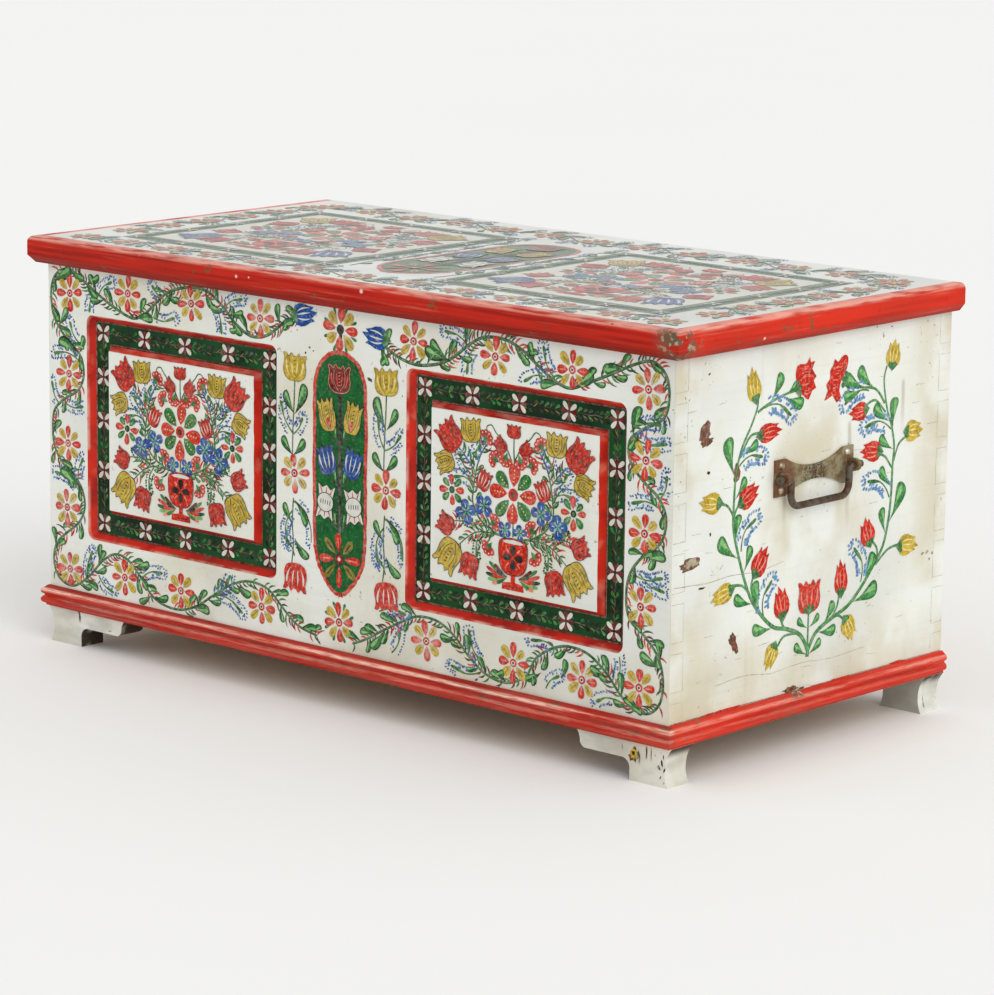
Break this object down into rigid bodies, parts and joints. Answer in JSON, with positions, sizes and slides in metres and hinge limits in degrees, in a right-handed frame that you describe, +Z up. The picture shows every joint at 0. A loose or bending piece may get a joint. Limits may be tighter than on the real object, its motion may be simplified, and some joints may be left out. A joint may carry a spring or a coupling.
{
  "type": "dowry chest",
  "caption": "Painted dovetailed dowry chest on bracket feet with fielded front panels, a hinged moulded lid, iron drop handles, an inside lock and an open till.",
  "frame": {"origin": "on the floor, under the middle of the whole chest's box", "axes": "+Z up, +X along the chest to the right seen from the front, front towards -Y"},
  "size_m": [1.14, 0.5814, 0.56],
  "materials": {
    "white_paint": "worn off-white paint",
    "red_paint": "worn red paint",
    "bare_pine": "bare aged pine",
    "wrought_iron": "rusted iron",
    "screw_steel": "worn steel"
  },
  "bodies": {
    "case": {"front_board": "white_paint", "back_board": "bare_pine", "left_side_board": "white_paint", "right_side_board": "white_paint", "left_front_panel": "white_paint", "right_front_panel": "white_paint", "front_bottom_plank": "bare_pine", "middle_bottom_plank": "bare_pine", "rear_bottom_plank": "bare_pine", "front_base_moulding": "red_paint", "left_base_moulding": "red_paint", "right_base_moulding": "red_paint", "front_left_foot": "white_paint", "front_right_foot": "white_paint", "rear_left_foot": "white_paint", "rear_right_foot": "white_paint", "till_side": "bare_pine", "till_bottom": "bare_pine", "front_till_cleat": "bare_pine", "rear_till_cleat": "bare_pine", "left_handle_plate": "wrought_iron", "right_handle_plate": "wrought_iron", "left_handle_screws": "screw_steel", "right_handle_screws": "screw_steel", "left_hinge_case_strap": "wrought_iron", "right_hinge_case_strap": "wrought_iron", "left_hinge_pin": "wrought_iron", "right_hinge_pin": "wrought_iron", "lock_plate": "wrought_iron", "lock_case": "wrought_iron", "lock_key_post": "wrought_iron"},
    "lid": {"front_lid_plank": "white_paint", "middle_lid_plank": "white_paint", "rear_lid_plank": "white_paint", "front_lid_moulding": "red_paint", "left_lid_moulding": "red_paint", "right_lid_moulding": "red_paint", "left_lid_batten": "bare_pine", "right_lid_batten": "bare_pine", "left_hinge_lid_strap": "wrought_iron", "right_hinge_lid_strap": "wrought_iron", "lock_staple": "wrought_iron"},
    "right_bail": {"right_bail": "wrought_iron"},
    "left_bail": {"left_bail": "wrought_iron"},
    "lock_bolt": {"lock_bolt": "wrought_iron"}
  },
  "joints": [
    {"name": "lid_hinge", "type": "hinge", "parent": "case", "child": "lid", "pos_m": [0, 0.28525, 0.5325], "axis": [-1, 0, 0], "range_deg": [0, 100]},
    {"name": "right_bail_swing", "type": "hinge", "parent": "case", "child": "right_bail", "pos_m": [0.562, -0.00175, 0.353], "axis": [0, -1, 0], "range_deg": [-8, 170]},
    {"name": "left_bail_swing", "type": "hinge", "parent": "case", "child": "left_bail", "pos_m": [-0.562, -0.00175, 0.353], "axis": [0, 1, 0], "range_deg": [-8, 170]},
    {"name": "lock_bolt_slide", "type": "slide", "parent": "case", "child": "lock_bolt", "axis": [1, 0, 0], "range_m": [0, 0.014]}
  ]
}
